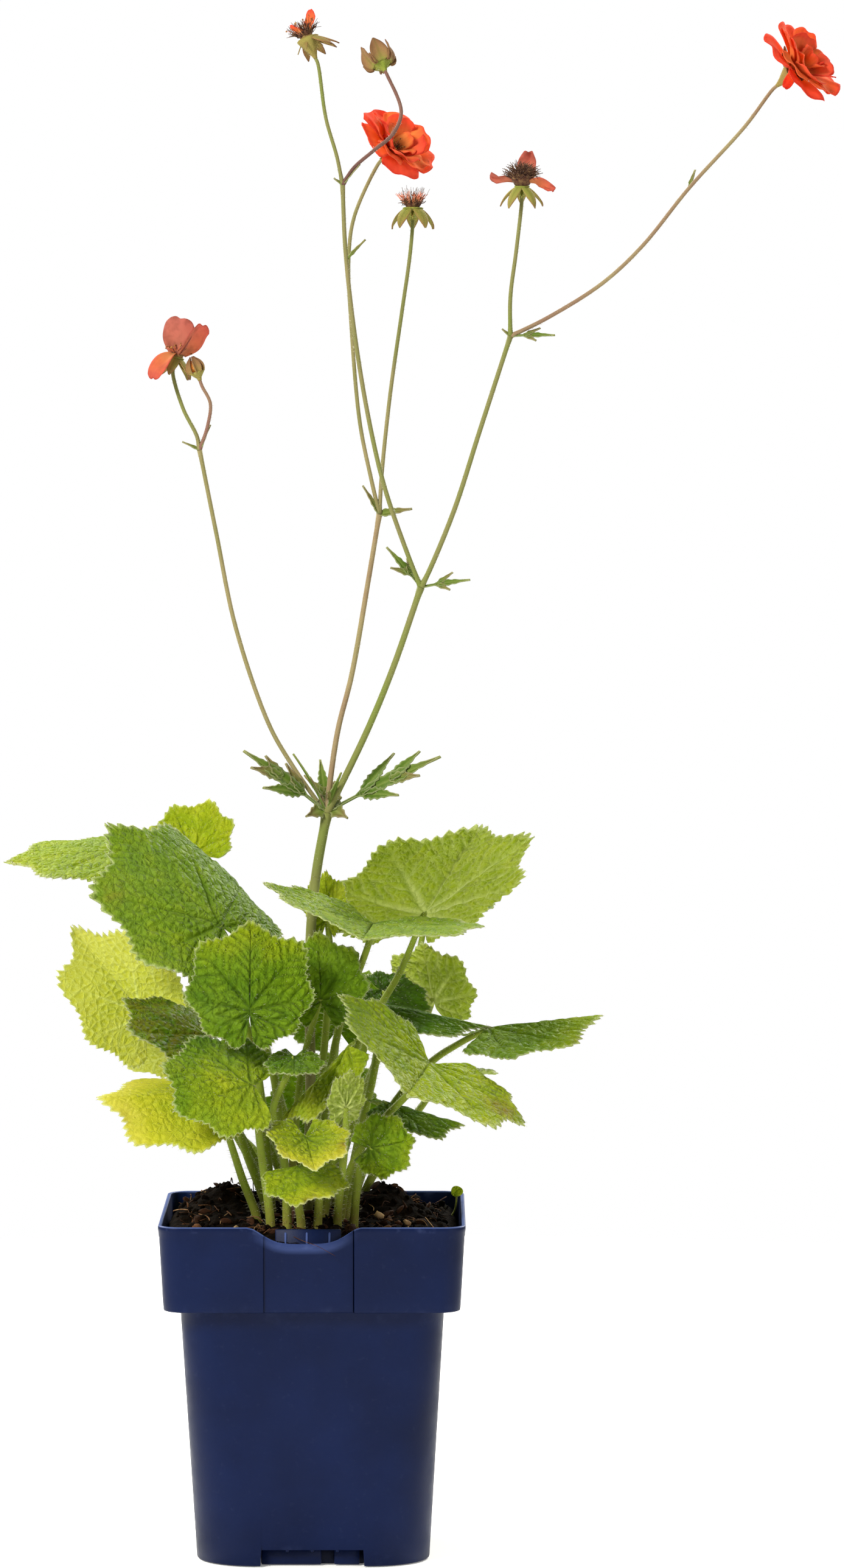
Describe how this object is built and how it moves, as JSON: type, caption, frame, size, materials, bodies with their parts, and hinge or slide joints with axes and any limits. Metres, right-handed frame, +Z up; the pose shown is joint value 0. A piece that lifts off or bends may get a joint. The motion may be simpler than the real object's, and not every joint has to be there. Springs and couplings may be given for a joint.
{
  "type": "potted avens",
  "caption": "Avens in a square nursery pot: a rosette of round, toothed, downy leaves on long petioles under one tall forking stalk with scarlet blooms, buds and spent heads.",
  "frame": {"origin": "middle of the pot's base, on the ground", "axes": "+Z up along the pot and the flower stalk; +Y from the front, with the dip in the rim, to the back; +X to the right, where the far bloom leans"},
  "size_m": [0.2993, 0.1781, 0.5578],
  "materials": {
    "pot": "satin",
    "soil": "matte",
    "leaf": "matte",
    "young_leaf": "matte",
    "flower_stalk": "matte",
    "calyx": "matte",
    "petals": "satin",
    "stamens": "matte"
  },
  "bodies": {
    "root": {"pot": "pot", "soil": "soil", "seedling": "leaf", "flower_stalk": "flower_stalk", "leaf_big_upper_left": "leaf", "leaf_round_front": "leaf", "leaf_low_front_left": "leaf", "leaf_yellow_low": "young_leaf", "leaf_yellow_left": "young_leaf", "leaf_yellow_left_low": "young_leaf", "leaf_olive_left": "leaf", "leaf_far_left": "leaf", "leaf_top_back": "leaf", "leaf_right_of_round": "leaf", "leaf_young": "leaf", "leaf_bridge": "leaf", "leaf_big_right_back": "leaf", "leaf_right_mid_back": "leaf", "leaf_dark_mid": "leaf", "leaf_right_long": "leaf", "leaf_right_long_left": "leaf", "leaf_saddle": "leaf", "leaf_diagonal": "leaf", "leaf_small_centre": "leaf", "leaf_pale_small": "leaf", "leaf_low_mid_yellow": "young_leaf", "leaf_front_rim_hang": "leaf", "leaf_low_right_hang": "leaf", "leaf_low_right_fold": "leaf", "leaf_back_left": "leaf", "leaf_back_mid_left": "leaf", "leaf_back_low_left": "leaf", "leaf_back_middle": "leaf", "leaf_back_low_middle": "leaf", "leaf_back_right": "leaf", "leaf_back_low_right": "leaf", "bloom_right_calyx": "calyx", "bloom_right_petals": "petals", "bloom_right_stamens": "stamens", "bloom_middle_calyx": "calyx", "bloom_middle_petals": "petals", "bloom_middle_stamens": "stamens", "spent_top_calyx": "calyx", "spent_top_petals": "petals", "spent_top_styles": "stamens", "bud_top_calyx": "calyx", "bud_top_petals": "petals", "spent_middle_calyx": "calyx", "spent_middle_stamens": "stamens", "spent_right_calyx": "calyx", "spent_right_petals": "petals", "spent_right_styles": "stamens", "bloom_left_calyx": "calyx", "bloom_left_petals": "petals", "bloom_left_stamens": "stamens", "bud_left_calyx": "calyx", "bud_left_petals": "petals"}
  },
  "joints": []
}
